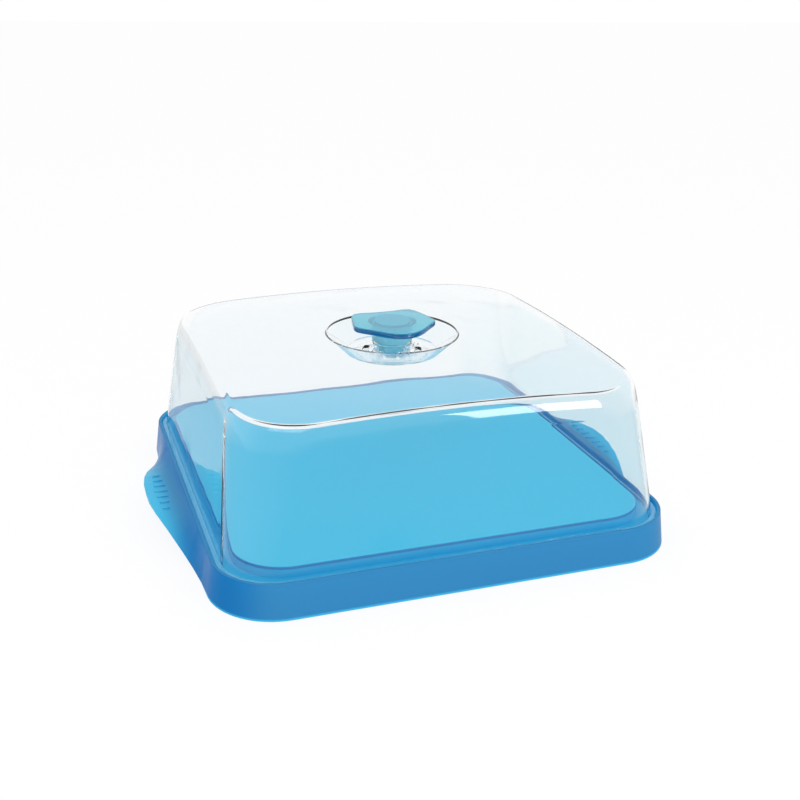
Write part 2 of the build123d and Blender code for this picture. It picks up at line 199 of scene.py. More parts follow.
def clear_san(name, look):
    """Injection-moulded styrene-acrylonitrile, untinted: glass-clear, with a mirror polish from the mould."""
    material = bpy.data.materials.new(name)
    material.use_nodes = True
    tree = material.node_tree
    tree.nodes.clear()
    gloss, normal = moulded_surface(tree, look.roughness, look.ripple, look.ripple_length)
    plastic = add_node(tree, "ShaderNodeBsdfPrincipled",
                       values={"Base Color": WHITE, "IOR": SAN_IOR, "Transmission Weight": 1.0},
                       links={"Roughness": gloss, "Normal": normal})
    # In the photograph the upright walls mirror only part of what is round them, the right-hand one more.
    # The light that passes them instead carries a painted reflection of the blue tray, stronger on the
    # right-hand wall.
    place = add_node(tree, "ShaderNodeTexCoord")
    slope = add_node(tree, "ShaderNodeSeparateXYZ", links={"Vector": place.outputs["Normal"]})
    steep = add_node(tree, "ShaderNodeMath", settings={"operation": "ABSOLUTE"}, links={0: slope.outputs["Z"]})
    upright = add_node(tree, "ShaderNodeMapRange", settings=SMOOTH,
                       values={"From Min": UPRIGHT, "From Max": SLOPING, "To Min": look.wall_dimming,
                               "To Max": 0.0},
                       links={"Value": steep.outputs["Value"]})
    parts = add_node(tree, "ShaderNodeSeparateXYZ", links={"Vector": place.outputs["Object"]})
    kept = add_node(tree, "ShaderNodeMapRange", settings=SMOOTH,
                    values={"From Min": RIGHT_START * MM, "From Max": RIGHT_FULL * MM, "To Min": 1.0,
                            "To Max": look.right_share},
                    links={"Value": parts.outputs["X"]})
    dimmed = add_node(tree, "ShaderNodeMath", settings={"operation": "MULTIPLY"},
                      links={0: upright.outputs["Result"], 1: kept.outputs["Result"]})
    right = add_node(tree, "ShaderNodeMapRange", settings=SMOOTH,
                     values={"From Min": RIGHT_START * MM, "From Max": RIGHT_FULL * MM},
                     links={"Value": parts.outputs["X"]})
    # Painted reflection of the blue tray, stronger on the right-hand wall
    painted_wall_reflection = add_node(tree, "ShaderNodeMixRGB",
                         values={"Color1": linear(look.painted_wall_reflection), "Color2": linear(look.painted_right_reflection)},
                         links={"Fac": right.outputs["Result"]})
    unmirrored = add_node(tree, "ShaderNodeBsdfRefraction", values={"IOR": SAN_IOR},
                          links={"Color": painted_wall_reflection.outputs["Color"], "Roughness": gloss, "Normal": normal})
    # From inside, beyond 40 degrees, all light is mirrored
    side = add_node(tree, "ShaderNodeNewGeometry")
    facing = add_node(tree, "ShaderNodeLayerWeight", values={"Blend": 0.5})
    grazing = add_node(tree, "ShaderNodeMapRange", settings=SMOOTH,
                       values={"From Min": MIRROR_START, "From Max": MIRROR_FULL},
                       links={"Value": facing.outputs["Facing"]})
    inner = add_node(tree, "ShaderNodeMath", settings={"operation": "MULTIPLY"},
                     links={0: side.outputs["Backfacing"], 1: grazing.outputs["Result"]})
    share = add_node(tree, "ShaderNodeMath", settings={"operation": "SUBTRACT"},
                     links={0: dimmed.outputs["Value"], 1: inner.outputs["Value"]})
    filtered = add_node(tree, "ShaderNodeMixShader",
                        links={"Fac": share.outputs["Value"], 1: plastic.outputs["BSDF"],
                               2: unmirrored.outputs["BSDF"]})
    # Lamps and bounced light pass straight through, so the wall throws only a faint shadow
    rays = add_node(tree, "ShaderNodeLightPath")
    passing = add_node(tree, "ShaderNodeMath", settings={"operation": "MAXIMUM"},
                       links={0: rays.outputs["Is Shadow Ray"], 1: rays.outputs["Is Diffuse Ray"]})
    straight = add_node(tree, "ShaderNodeBsdfTransparent",
                        values={"Color": (STRAIGHT_SHARE, STRAIGHT_SHARE, STRAIGHT_SHARE, 1)})
    mixed = add_node(tree, "ShaderNodeMixShader",
                     links={"Fac": passing.outputs["Value"], 1: filtered.outputs["Shader"],
                            2: straight.outputs["BSDF"]})
    body = add_node(tree, "ShaderNodeVolumeAbsorption",
                    values={"Color": linear(look.tint), "Density": look.density})
    add_node(tree, "ShaderNodeOutputMaterial",
             links={"Surface": mixed.outputs["Shader"], "Volume": body.outputs["Volume"]})
    return material


def lit_wall_share(tree):
    """A socket with the share of the light tint, painted light: large on the floor, the skirt's foot and the
    wing tips, where one tray wall is seen alone over the lit table, smaller in the channel, and 0 elsewhere.
    """
    place = add_node(tree, "ShaderNodeTexCoord")
    parts = add_node(tree, "ShaderNodeSeparateXYZ", links={"Vector": place.outputs["Object"]})
    floor = add_node(tree, "ShaderNodeMapRange", settings=SMOOTH,
                     values={"From Min": FLOOR_START * MM, "From Max": FLOOR_FULL * MM},
                     links={"Value": parts.outputs["Z"]})
    foot = add_node(tree, "ShaderNodeMapRange", settings=SMOOTH,
                    values={"From Min": FOOT_FULL * MM, "From Max": FOOT_END * MM, "To Min": FOOT_PAINTED_LIGHT,
                            "To Max": 0.0},
                    links={"Value": parts.outputs["Z"]})
    aside = add_node(tree, "ShaderNodeMath", settings={"operation": "ABSOLUTE"}, links={0: parts.outputs["X"]})
    tips = add_node(tree, "ShaderNodeMapRange", settings=SMOOTH,
                    values={"From Min": TIP_START * MM, "From Max": TIP_FULL * MM, "To Max": TIP_PAINTED_LIGHT},
                    links={"Value": aside.outputs["Value"]})
    # How far out from the centres of the rim's round corners
    folded = add_node(tree, "ShaderNodeVectorMath", settings={"operation": "ABSOLUTE"},
                      links={0: place.outputs["Object"]})
    beyond = add_node(tree, "ShaderNodeVectorMath", settings={"operation": "SUBTRACT"},
                      values={1: (RIM_CORNER_CENTRE * MM, RIM_CORNER_CENTRE * MM, 1.0)},
                      links={0: folded.outputs["Vector"]})
    outside = add_node(tree, "ShaderNodeVectorMath", settings={"operation": "MAXIMUM"}, values={1: (0, 0, 0)},
                       links={0: beyond.outputs["Vector"]})
    reach = add_node(tree, "ShaderNodeVectorMath", settings={"operation": "LENGTH"},
                     links={0: outside.outputs["Vector"]})
    inside = add_node(tree, "ShaderNodeMapRange", settings=SMOOTH,
                      values={"From Min": CHANNEL_INSIDE * MM, "From Max": CHANNEL_OUTSIDE * MM,
                              "To Min": CHANNEL_PAINTED_LIGHT, "To Max": 0.0},
                      links={"Value": reach.outputs["Value"]})
    low = add_node(tree, "ShaderNodeMapRange", settings=SMOOTH,
                   values={"From Min": CHANNEL_TOP * MM, "From Max": CHANNEL_OVER * MM, "To Min": 1.0,
                           "To Max": 0.0},
                   links={"Value": parts.outputs["Z"]})
    channel = add_node(tree, "ShaderNodeMath", settings={"operation": "MULTIPLY"},
                       links={0: inside.outputs["Result"], 1: low.outputs["Result"]})
    share = floor.outputs["Result"]
    for other in (foot.outputs["Result"], tips.outputs["Result"], channel.outputs["Value"]):
        larger = add_node(tree, "ShaderNodeMath", settings={"operation": "MAXIMUM"}, links={0: share, 1: other})
        share = larger.outputs["Value"]
    return share


def tinted_san(name, look):
    """Injection-moulded styrene-acrylonitrile, tinted in the mass and a little milky: it glows evenly."""
    material = bpy.data.materials.new(name)
    material.use_nodes = True
    tree = material.node_tree
    tree.nodes.clear()
    gloss, normal = moulded_surface(tree, look.roughness, look.ripple, look.ripple_length)
    # A wall alone over the white table shows its tint once, painted lighter as if lit from the table. With more
    # walls behind it the tint deepens, partly as in the plastic and partly as painted shade, and on the
    # left-hand sides, away from the backlight, painted shade turns it a purer, darker blue.
    place = add_node(tree, "ShaderNodeTexCoord")
    slope = add_node(tree, "ShaderNodeSeparateXYZ", links={"Vector": place.outputs["Normal"]})
    # Painted shade on the sides that face left
    left = add_node(tree, "ShaderNodeMapRange", settings=SMOOTH,
                    values={"From Min": LEFT_SHADE_FULL, "From Max": LEFT_SHADE_START, "To Min": 1.0, "To Max": 0.0},
                    links={"Value": slope.outputs["X"]})
    deep = add_node(tree, "ShaderNodeMixRGB",
                    values={"Color1": linear(look.deep_shaded_tint), "Color2": linear(look.left_shade_tint)},
                    links={"Fac": left.outputs["Result"]})
    # The light tint mixed in here is painted light
    tint = add_node(tree, "ShaderNodeMixRGB", values={"Color2": linear(look.tint)},
                    links={"Color1": deep.outputs["Color"], "Fac": lit_wall_share(tree)})
    plastic = add_node(tree, "ShaderNodeBsdfPrincipled",
                       values={"IOR": SAN_IOR, "Specular IOR Level": look.shine,
                               "Transmission Weight": look.clearness},
                       links={"Base Color": tint.outputs["Color"], "Roughness": gloss, "Normal": normal})
    glow = add_node(tree, "ShaderNodeBsdfTranslucent", links={"Color": tint.outputs["Color"]})
    milky = add_node(tree, "ShaderNodeMixShader", values={"Fac": look.milkiness},
                     links={1: plastic.outputs["BSDF"], 2: glow.outputs["BSDF"]})
    # The tint lets lamps through as coloured light
    rays = add_node(tree, "ShaderNodeLightPath")
    straight = add_node(tree, "ShaderNodeBsdfTransparent", values={"Color": linear(look.tint)})
    mixed = add_node(tree, "ShaderNodeMixShader",
                     links={"Fac": rays.outputs["Is Shadow Ray"], 1: milky.outputs["Shader"],
                            2: straight.outputs["BSDF"]})
    add_node(tree, "ShaderNodeOutputMaterial", links={"Surface": mixed.outputs["Shader"]})
    return material


def tinted_clear_san(name, look):
    """Injection-moulded styrene-acrylonitrile, tinted and clear: pale where thin, deep along edges."""
    material = bpy.data.materials.new(name)
    material.use_nodes = True
    tree = material.node_tree
    tree.nodes.clear()
    gloss, normal = moulded_surface(tree, look.roughness, look.ripple, look.ripple_length)
    clear = add_node(tree, "ShaderNodeBsdfPrincipled",
                     values={"Base Color": WHITE, "IOR": SAN_IOR, "Transmission Weight": 1.0},
                     links={"Roughness": gloss, "Normal": normal})
    # The plate's edge is deep blue, because it is seen through the plate's width, and the thin cup is pale
    place = add_node(tree, "ShaderNodeTexCoord")
    slope = add_node(tree, "ShaderNodeSeparateXYZ", links={"Vector": place.outputs["Normal"]})
    steep = add_node(tree, "ShaderNodeMath", settings={"operation": "ABSOLUTE"}, links={0: slope.outputs["Z"]})
    flat = add_node(tree, "ShaderNodeMapRange", settings=SMOOTH,
                    values={"From Min": EDGE_SLOPE, "From Max": FACE_SLOPE},
                    links={"Value": steep.outputs["Value"]})
    plate_milk = add_node(tree, "ShaderNodeMixRGB",
                          values={"Color1": linear(look.deep_milk), "Color2": linear(look.milk)},
                          links={"Fac": flat.outputs["Result"]})
    parts = add_node(tree, "ShaderNodeSeparateXYZ", links={"Vector": place.outputs["Object"]})
    plate = add_node(tree, "ShaderNodeMapRange", settings=SMOOTH,
                     values={"From Min": CUP_TOP * MM, "From Max": PLATE_FOOT * MM},
                     links={"Value": parts.outputs["Z"]})
    milk_colour = add_node(tree, "ShaderNodeMixRGB", values={"Color1": linear(look.cup_milk)},
                           links={"Color2": plate_milk.outputs["Color"], "Fac": plate.outputs["Result"]})
    milk = add_node(tree, "ShaderNodeBsdfPrincipled", values={"IOR": SAN_IOR},
                    links={"Base Color": milk_colour.outputs["Color"], "Roughness": gloss, "Normal": normal})
    share = add_node(tree, "ShaderNodeMapRange", settings=SMOOTH,
                     values={"From Min": CUP_TOP * MM, "From Max": PLATE_FOOT * MM,
                             "To Min": look.cup_milkiness, "To Max": look.milkiness},
                     links={"Value": parts.outputs["Z"]})
    plastic = add_node(tree, "ShaderNodeMixShader",
                       links={"Fac": share.outputs["Result"], 1: clear.outputs["BSDF"],
                              2: milk.outputs["BSDF"]})
    rays = add_node(tree, "ShaderNodeLightPath")
    straight = add_node(tree, "ShaderNodeBsdfTransparent", values={"Color": linear(look.tint)})
    mixed = add_node(tree, "ShaderNodeMixShader",
                     links={"Fac": rays.outputs["Is Shadow Ray"], 1: plastic.outputs["Shader"],
                            2: straight.outputs["BSDF"]})
    body = add_node(tree, "ShaderNodeVolumeAbsorption",
                    values={"Color": linear(look.tint), "Density": look.density})
    add_node(tree, "ShaderNodeOutputMaterial",
             links={"Surface": mixed.outputs["Shader"], "Volume": body.outputs["Volume"]})
    return material


def dress(node_name, material):
    """Gives a CAD node its material."""
    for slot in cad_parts[node_name].material_slots:
        slot.material = material


def square_loop():
    """Once round a rounded square: for each point its corner centre, as shares, and its outward direction."""
    loop = []
    for side in range(4):
        turn = Matrix.Rotation(side * math.pi / 2, 2)
        for step in range(STRAIGHT_STEPS):
            loop.append((turn @ Vector((1, -1 + 2 * step / STRAIGHT_STEPS)), turn @ Vector((1, 0))))
        for step in range(CORNER_STEPS):
            angle = step / CORNER_STEPS * math.pi / 2
            loop.append((turn @ Vector((1, 1)), turn @ Vector((math.cos(angle), math.sin(angle)))))
    return loop


LOOP = square_loop()


def wall_half(height):
    """Half width of the dome's outer wall at a height."""
    return WALL_FOOT_HALF + WALL_HALF_SLOPE * (height - FOOT_HEIGHT)


def corner_centre(height):
    """How far the centres of the dome's round corners lie from the axis, each way, at a height."""
    return wall_half(height) - WALL_FOOT_RADIUS - WALL_RADIUS_SLOPE * (height - FOOT_HEIGHT)


def square_row(half, height):
    """One loop round the dome with a half width at a height."""
    centre = corner_centre(height)
    return [Vector((*(centre * share + (half - centre) * out), height)) for share, out in LOOP]


def round_row(radius, height):
    """One circle about the axis, with a point for each point of the square loop."""
    step = 2 * math.pi / len(LOOP)
    angles = [(index - STRAIGHT_STEPS / 2) * step for index in range(len(LOOP))]
    return [Vector((radius * math.cos(a), radius * math.sin(a), height)) for a in angles]


def crown_height(reach, inset):
    """Height of the crown, or of a surface inset from it, at a distance from the axis."""
    return APEX_HEIGHT - CROWN_RADIUS + math.sqrt((CROWN_RADIUS - inset)**2 - reach**2)


def rounded_profile(corners):
    """A profile through corners given as reach, height and rounding, with an arc at each rounded one."""
    points = []
    for index, (reach, height, rounding) in enumerate(corners):
        here = Vector((reach, height))
        if not rounding:
            points.append(here)
            continue
        before = (Vector(corners[index - 1][:2]) - here).normalized()
        after = (Vector(corners[index + 1][:2]) - here).normalized()
        half_angle = before.angle(after) / 2
        start = rounding / math.tan(half_angle)
        centre = here + (before + after).normalized() * rounding / math.sin(half_angle)
        first, last = here + before * start - centre, here + after * start - centre
        turn = first.angle_signed(last)
        steps = max(2, math.ceil(abs(turn) / math.radians(ARC_STEP)))
        # A point just outside each end of the arc keeps the faces beside it flat
        points.append(here + before * start * ARC_LEAD)
        points += [centre + Matrix.Rotation(-turn * step / steps, 2) @ first for step in range(steps + 1)]
        points.append(here + after * start * ARC_LEAD)
    return points


def dome_skin(inset, drop, run, low, mouth):
    """Rows of the dome's skin at an inset: up the wall, round the shoulder, and in over the crown to a circle.

    The shoulder starts a drop below the edge where wall and crown would meet, and ends a run in from it. It
    turns slowly at the top of the wall and tightly at the crown.
    """
    top_centre = Vector((0, 0, APEX_HEIGHT - CROWN_RADIUS))
    centre_slope = WALL_HALF_SLOPE - WALL_RADIUS_SLOPE
    feet, starts, edges, ends = [], [], [], []
    for (share, out), foot in zip(LOOP, square_row(wall_half(low) - inset, low)):
        rise = Vector((*(centre_slope * share + WALL_RADIUS_SLOPE * out), 1))
        start = foot - top_centre
        a, b, c = rise.dot(rise), 2 * rise.dot(start), start.dot(start) - (CROWN_RADIUS - inset)**2
        edge = foot + rise * (-b + math.sqrt(b * b - 4 * a * c)) / (2 * a)
        flat = edge.xy - out * run
        feet.append(foot)
        edges.append(edge)
        starts.append(edge - rise * drop)
        ends.append(Vector((*flat, crown_height(flat.length, inset))))
    rows = [[f.lerp(s, share) for f, s in zip(feet, starts)] for share in WALL_SHARES]
    for step in range(SHOULDER_STEPS + 1):
        turn = step / SHOULDER_STEPS * math.pi / 2
        share = drop * math.sin(turn) / (drop * math.sin(turn) + run * math.cos(turn))
        rows.append([s.lerp(m, share).lerp(m.lerp(e, share), share) for s, m, e in zip(starts, edges, ends)])
    rim = rows[-1]
    circle = round_row(mouth, 0)
    for share in CROWN_SHARES:
        row = []
        for outer, inner in zip(rim, circle):
            flat = outer.xy.lerp(inner.xy, share)
            row.append(Vector((*flat, crown_height(flat.length, inset))))
        rows.append(row)
    return rows


def ring_mesh(name, rows):
    """A closed ring-shaped mesh from rows of points, each joined to the next and the last to the first."""
    made = bmesh.new()
    verts = [[made.verts.new(point * MM) for point in row] for row in rows]
    count = len(rows[0])
    for index, row in enumerate(verts):
        following = verts[(index + 1) % len(verts)]
        for place in range(count):
            beside = (place + 1) % count
            made.faces.new((row[place], row[beside], following[beside], following[place]))
    bmesh.ops.recalc_face_normals(made, faces=made.faces)
    return to_object(name, made)


def to_object(name, made):
    """An object from a bmesh, in the scene."""
    mesh = bpy.data.meshes.new(name)
    made.to_mesh(mesh)
    made.free()
    piece = bpy.data.objects.new(name, mesh)
    bpy.context.scene.collection.objects.link(piece)
    return piece


def add_prism(made, outline, low, high, place=Matrix()):
    """Adds a prism to a bmesh, on an outline in X and Y, between two heights, then moves it into place."""
    verts = []
    for height in (low, high):
        verts.append([made.verts.new(place @ Vector((x, y, height)) * MM) for x, y in outline])
    made.faces.new(verts[0])
    made.faces.new(verts[1])
    count = len(outline)
    for index in range(count):
        beside = (index + 1) % count
        made.faces.new((verts[0][index], verts[0][beside], verts[1][beside], verts[1][index]))
    bmesh.ops.recalc_face_normals(made, faces=made.faces)


def combine(piece, other, operation):
    """Joins another closed mesh to a piece or cuts it out, and takes the other away."""
    modifier = piece.modifiers.new("combine", "BOOLEAN")
    modifier.object = other
    modifier.operation = operation
    modifier.solver = "EXACT"
    depsgraph = bpy.context.evaluated_depsgraph_get()
    result = bpy.data.meshes.new_from_object(piece.evaluated_get(depsgraph), depsgraph=depsgraph)
    piece.modifiers.clear()
    piece.data = result
    bpy.data.objects.remove(other)


def smooth(piece, sharp_degrees):
    """Shades a piece smooth, except over edges sharper than an angle."""
    piece.data.shade_smooth()
    piece.data.set_sharp_from_angle(angle=math.radians(sharp_degrees))


def polar(radius, degrees):
    """A point in X and Y at a radius and an angle."""
    return (radius * math.cos(math.radians(degrees)), radius * math.sin(math.radians(degrees)))


class KeeperTray(bpy.types.PropertyGroup):
    """Finish of the tinted tray."""
    # As the colour lamps pass through, the tint is the plastic's own; as a base colour it is painted light on
    # lit single walls
    tint: StringProperty(name="Tint", description="Colour of a wall alone", default="#52D9FB")
    # The deep tint is partly the plastic seen through more walls and partly painted shade
    deep_shaded_tint: StringProperty(name="Deep tint", description="Colour of a wall with more behind",
                              default="#3C92C6")
    # The left tint is painted shade on the left-hand sides, away from the backlight
    left_shade_tint: StringProperty(name="Left tint", description="Deep tint on the left-hand sides",
                              default="#1482C6")
    clearness: FloatProperty(name="Clearness", description="Share of light that passes undimmed", default=0.12,
                             min=0.0, max=1.0)
    milkiness: FloatProperty(name="Milkiness", description="Share of light that spreads inside", default=0.15,
                             min=0.0, max=1.0)
    shine: FloatProperty(name="Shine", description="Strength of the surface's reflection", default=0.04,
                         min=0.0, max=1.0)
    roughness: FloatProperty(name="Roughness", description="Mean roughness", default=0.15, min=0.0, max=1.0)
    ripple: FloatProperty(name="Ripple", description="Height of the mould's ripple, mm", default=0.1, min=0.0)
    ripple_length: FloatProperty(name="Ripple length", description="Crest to crest, mm", default=60.0, min=1.0)


class KeeperLid(bpy.types.PropertyGroup):
    """Finish and sizes of the clear lid, and finish of the shutter."""
    tint: StringProperty(name="Tint", description="Colour that passes the plastic best", default="#E6FAFF")
    density: FloatProperty(name="Tint density", description="How strongly the tint takes light, per metre",
                           default=4.0, min=0.0)
    roughness: FloatProperty(name="Roughness", description="Mean roughness", default=0.012, min=0.0, max=1.0)
    ripple: FloatProperty(name="Ripple", description="Height of the mould's ripple, mm", default=0.3, min=0.0)
    ripple_length: FloatProperty(name="Ripple length", description="Crest to crest, mm", default=45.0, min=1.0)
    # The wall tint is a painted reflection of the blue tray
    painted_wall_reflection: StringProperty(name="Wall tint", default="#F4F9FB",
                              description="What the upright walls take up of the tray's colour")
    wall_dimming: FloatProperty(name="Wall dimming", default=0.6, min=0.0, max=1.0,
                                description="Share of an upright wall's mirroring that is lost")
    # The right wall's tint is a stronger painted reflection of the tray
    painted_right_reflection: StringProperty(name="Right wall's tint", description="What the right-hand wall takes up of it",
                               default="#D8EEF4")
    right_share: FloatProperty(name="Right wall's share", default=0.6, min=0.0, max=1.0,
                               description="Share of the dimming on the right-hand wall")
    wall: FloatProperty(name="Wall", description="Wall thickness, mm", default=2.0, min=1.0, max=3.0)
    shoulder_drop: FloatProperty(name="Shoulder drop", default=14.0, min=5.0, max=20.0,
                                 description="How far down the wall its rounding starts, mm")
    shoulder_run: FloatProperty(name="Shoulder run", default=5.0, min=3.0, max=10.0,
                                description="How far in over the crown it ends, mm")
    mouth_rounding: FloatProperty(name="Mouth rounding", description="Rounding of the recess's mouth, mm",
                                  default=0.8, min=0.5, max=4.0)


class KeeperKnob(bpy.types.PropertyGroup):
    """Finish of the tinted vent knob."""
    tint: StringProperty(name="Tint", description="Colour that passes the plastic best", default="#5CE8EE")
    density: FloatProperty(name="Tint density", description="How strongly the tint takes light, per metre",
                           default=400.0, min=0.0)
    milk: StringProperty(name="Milk", description="Colour of the light that the plastic scatters",
                         default="#22CDEC")
    deep_milk: StringProperty(name="Deep milk", description="The same along the plate's edge",
                              default="#1C78C4")
    milkiness: FloatProperty(name="Milkiness", description="Share of light that spreads in the plate",
                             default=0.4, min=0.0, max=1.0)
    cup_milk: StringProperty(name="Cup milk", description="The same in the thin cup", default="#A4E4F4")
    cup_milkiness: FloatProperty(name="Cup milkiness", default=0.5, min=0.0, max=1.0,
                                 description="Share of light that spreads in the thin cup")
    roughness: FloatProperty(name="Roughness", description="Mean roughness", default=0.03, min=0.0, max=1.0)
    ripple: FloatProperty(name="Ripple", description="Height of the mould's ripple, mm", default=0.03, min=0.0)
    ripple_length: FloatProperty(name="Ripple length", description="Crest to crest, mm", default=20.0, min=1.0)


class KeeperStage(bpy.types.PropertyGroup):
    """Camera, floor and light."""
    azimuth: FloatProperty(name="Azimuth", description="Camera's turn round the keeper from straight in front",
                           default=math.radians(-19.47), subtype="ANGLE")
    elevation: FloatProperty(name="Elevation", description="Camera's height above the horizon, as an angle",
                             default=math.radians(21.31), subtype="ANGLE")
    roll: FloatProperty(name="Roll", description="Camera's roll", default=math.radians(1.11), subtype="ANGLE")
    distance: FloatProperty(name="Distance", description="From the camera to the table point under the keeper",
                            default=0.703, unit="LENGTH")
    aside: FloatProperty(name="Aside", description="How far that point lies right of the picture's centre",
                         default=-0.00657, unit="LENGTH")
    below: FloatProperty(name="Below", description="How far that point lies below the picture's centre",
                         default=0.05431, unit="LENGTH")
    lens: FloatProperty(name="Lens", description="Focal length on a 36 mm sensor, in millimetres", default=50.0)
    floor_colour: StringProperty(name="Floor", description="Colour of the table", default="#FFFFFF")
    bleach: FloatProperty(name="Bleach", description="How much of the table's shadow is bleached out",
                          default=0.88, min=0.0, max=1.0)
    front_light: FloatProperty(name="Front light", description="Strength of the table and room in front",
                               default=0.3, min=0.0)
    left_light: FloatProperty(name="Left light", description="Strength of the table on the left", default=0.5,
                              min=0.0)
    sky: FloatProperty(name="Room light", description="Strength of the white room", default=0.85, min=0.0)
    softbox_power: FloatProperty(name="Softbox", description="Power of the large softbox", default=2.5,
                                 unit="POWER")
    strip_power: FloatProperty(name="Front strip", default=4.0, unit="POWER",
                               description="Power of the small softbox in front, to the right")


class KEEPER_OT_tray(bpy.types.Operator):
    """Dress the tinted tray"""
    bl_idname = "keeper.tray"
    bl_label = "Dress tray"

    def execute(self, context):
        dress("tray", tinted_san("blue moulded SAN, tray", context.scene.keeper_tray))
        return {"FINISHED"}


class KEEPER_OT_lid(bpy.types.Operator):
    """Build the clear dome lid, and dress it and the vent shutter under it"""
    bl_idname = "keeper.lid"
    bl_label = "Build lid"

    def execute(self, context):
        look = context.scene.keeper_lid
        clear = clear_san("clear moulded SAN", look)
        lid = self.dome(look)
        combine(lid, self.gussets_and_peg(), "UNION")
        combine(lid, self.ports(), "DIFFERENCE")
        smooth(lid, SHARP_EDGE)
        lid.data.materials.clear()
        lid.data.materials.append(clear)
        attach(lid, "lid")
        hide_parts("dome_lid")
        dress("vent_shutter", clear)
        return {"FINISHED"}

    def dome(self, look):
        """The dome shell with its foot flange, round recess, vent collar and stem hole, as one closed skin."""
        wall = look.wall
        foot = rounded_profile([
            (WALL_FOOT_HALF - wall, FOOT_HEIGHT, 0),
            (FLANGE_HALF, FOOT_HEIGHT, FLANGE_ROUNDING),
            (FLANGE_HALF, FLANGE_TOP, FLANGE_ROUNDING),
            (wall_half(FLANGE_TOP), FLANGE_TOP, FLANGE_ROUNDING),
            (wall_half(WALL_START), WALL_START, 0)])
        rows = [square_row(half, height) for half, height in foot[:-1]]
        rows += dome_skin(0, look.shoulder_drop, look.shoulder_run, WALL_START, OUTER_PATCH_RADIUS)
        floor_below = RECESS_FLOOR - wall
        dish = rounded_profile([
            (OUTER_PATCH_RADIUS, crown_height(OUTER_PATCH_RADIUS, 0), 0),
            (RECESS_MOUTH_RADIUS, crown_height(RECESS_MOUTH_RADIUS, 0), look.mouth_rounding),
            (RECESS_FLOOR_RADIUS, RECESS_FLOOR, RECESS_FLOOR_ROUNDING),
            (COLLAR_RADIUS - COLLAR_LEAN, RECESS_FLOOR, COLLAR_FOOT_ROUNDING),
            (COLLAR_RADIUS, COLLAR_TOP, COLLAR_EDGE_ROUNDING),
            (COLLAR_RADIUS - COLLAR_WALL, COLLAR_TOP, COLLAR_EDGE_ROUNDING),
            (COLLAR_RADIUS - COLLAR_LEAN - COLLAR_WALL, RECESS_FLOOR, COLLAR_FOOT_ROUNDING),
            (STEM_HOLE_RADIUS, RECESS_FLOOR, STEM_HOLE_ROUNDING),
            (STEM_HOLE_RADIUS, floor_below, STEM_HOLE_ROUNDING),
            (UNDER_FLOOR_RADIUS, floor_below, UNDER_FLOOR_ROUNDING),
            (UNDER_MOUTH_RADIUS, crown_height(UNDER_MOUTH_RADIUS, wall), UNDER_MOUTH_ROUNDING),
            (INNER_PATCH_RADIUS, crown_height(INNER_PATCH_RADIUS, wall), 0)])
        rows += [round_row(radius, height) for radius, height in dish]
        inner_drop, inner_run = look.shoulder_drop - wall, look.shoulder_run - INNER_RUN_SHARE * wall
        inner = dome_skin(wall, inner_drop, inner_run, FOOT_HEIGHT, INNER_PATCH_RADIUS)
        rows += reversed(inner[1:])
        return ring_mesh("clear_dome_lid", rows)

    def gussets_and_peg(self):
        """Four small gussets between the collar and the recess floor, and the shutter's stop peg below."""
        made = bmesh.new()
        upright = Matrix.Rotation(math.pi / 2, 4, "X")
        for index in range(GUSSET_COUNT):
            turn = Matrix.Rotation(math.radians(GUSSET_ANGLE + 360 / GUSSET_COUNT * index), 4, "Z")
            add_prism(made, GUSSET_OUTLINE, -GUSSET_THICKNESS / 2, GUSSET_THICKNESS / 2, turn @ upright)
        peg_x, peg_y = polar(PEG_PATH_RADIUS, GUSSET_ANGLE)
        circle = [polar(PEG_RADIUS, 360 / PEG_STEPS * step) for step in range(PEG_STEPS)]
        add_prism(made, [(peg_x + x, peg_y + y) for x, y in circle], PEG_FOOT, PEG_TOP)
        return to_object("gussets_and_peg", made)

    def ports(self):
        """The four curved air ports, midway between the gussets."""
        made = bmesh.new()
        outer, inner = PORT_PATH_RADIUS + PORT_WIDTH / 2, PORT_PATH_RADIUS - PORT_WIDTH / 2
        step_angle = PORT_SPAN / PORT_STEPS
        for index in range(GUSSET_COUNT):
            middle = GUSSET_ANGLE + 360 / GUSSET_COUNT * (index + 0.5)
            first, last = middle - PORT_SPAN / 2, middle + PORT_SPAN / 2
            outline = [polar(outer, first + step_angle * step) for step in range(PORT_STEPS + 1)]
            outline += self.round_end(last, 0)
            outline += [polar(inner, last - step_angle * step) for step in range(PORT_STEPS + 1)]
            outline += self.round_end(first, 180)
            add_prism(made, outline, PORT_CUT_FOOT, PORT_CUT_TOP)
        return to_object("ports", made)

    def round_end(self, degrees, turned):
        """The points between a port's sides, round one end."""
        x, y = polar(PORT_PATH_RADIUS, degrees)
        angles = [degrees + turned + 180 / PORT_STEPS * step for step in range(1, PORT_STEPS)]
        points = [polar(PORT_WIDTH / 2, angle) for angle in angles]
        return [(x + dx, y + dy) for dx, dy in points]


class KEEPER_OT_knob(bpy.types.Operator):
    """Dress the tinted vent knob"""
    bl_idname = "keeper.knob"
    bl_label = "Dress knob"

    def execute(self, context):
        dress("vent_knob", tinted_clear_san("blue moulded SAN, knob", context.scene.keeper_knob))
        return {"FINISHED"}


